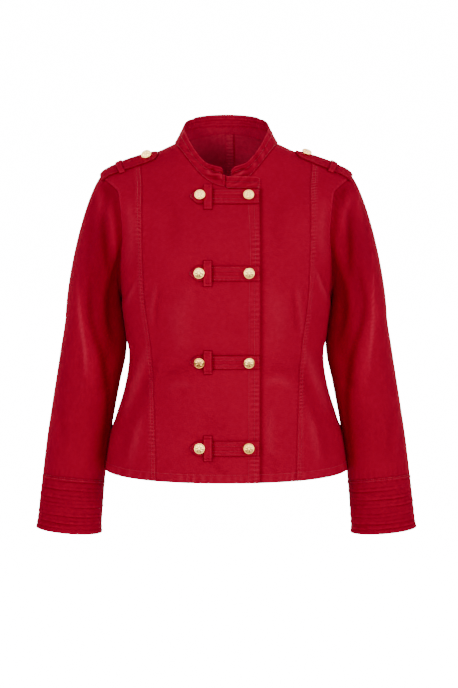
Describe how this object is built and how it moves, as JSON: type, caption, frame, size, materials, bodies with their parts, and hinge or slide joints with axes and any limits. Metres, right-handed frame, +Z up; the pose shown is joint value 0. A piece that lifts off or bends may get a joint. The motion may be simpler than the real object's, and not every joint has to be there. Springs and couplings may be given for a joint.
{
  "type": "stand-collar military jacket",
  "caption": "Fitted hip-length band jacket in red twill: stand collar, strap tabs through keeper loops, gold shank buttons, epaulettes and tucked cuffs, hollow as worn.",
  "frame": {"origin": "base of the neck, midway between the two points where the shoulder seams meet the collar", "axes": "+X towards the wearer's left, -Y towards the front, +Z up"},
  "size_m": [0.6486, 0.2913, 0.7076],
  "materials": {
    "twill": "matte",
    "buttons": "polished"
  },
  "bodies": {
    "root": {"front_right_centre": "twill", "front_left_centre": "twill", "front_right_side": "twill", "front_left_side": "twill", "back_right": "twill", "back_left": "twill", "sleeve_right": "twill", "sleeve_left": "twill", "cuff_right": "twill", "cuff_left": "twill", "collar_stand": "twill", "epaulette_right": "twill", "epaulette_left": "twill", "epaulette_loop_right": "twill", "epaulette_loop_left": "twill", "tab_1": "twill", "tab_2": "twill", "tab_3": "twill", "tab_4": "twill", "tab_loop_1": "twill", "tab_loop_2": "twill", "tab_loop_3": "twill", "tab_loop_4": "twill", "button_1_right": "buttons", "button_1_left": "buttons", "button_2_right": "buttons", "button_2_left": "buttons", "button_3_right": "buttons", "button_3_left": "buttons", "button_4_right": "buttons", "button_4_left": "buttons", "epaulette_button_right": "buttons", "epaulette_button_left": "buttons"}
  },
  "joints": []
}
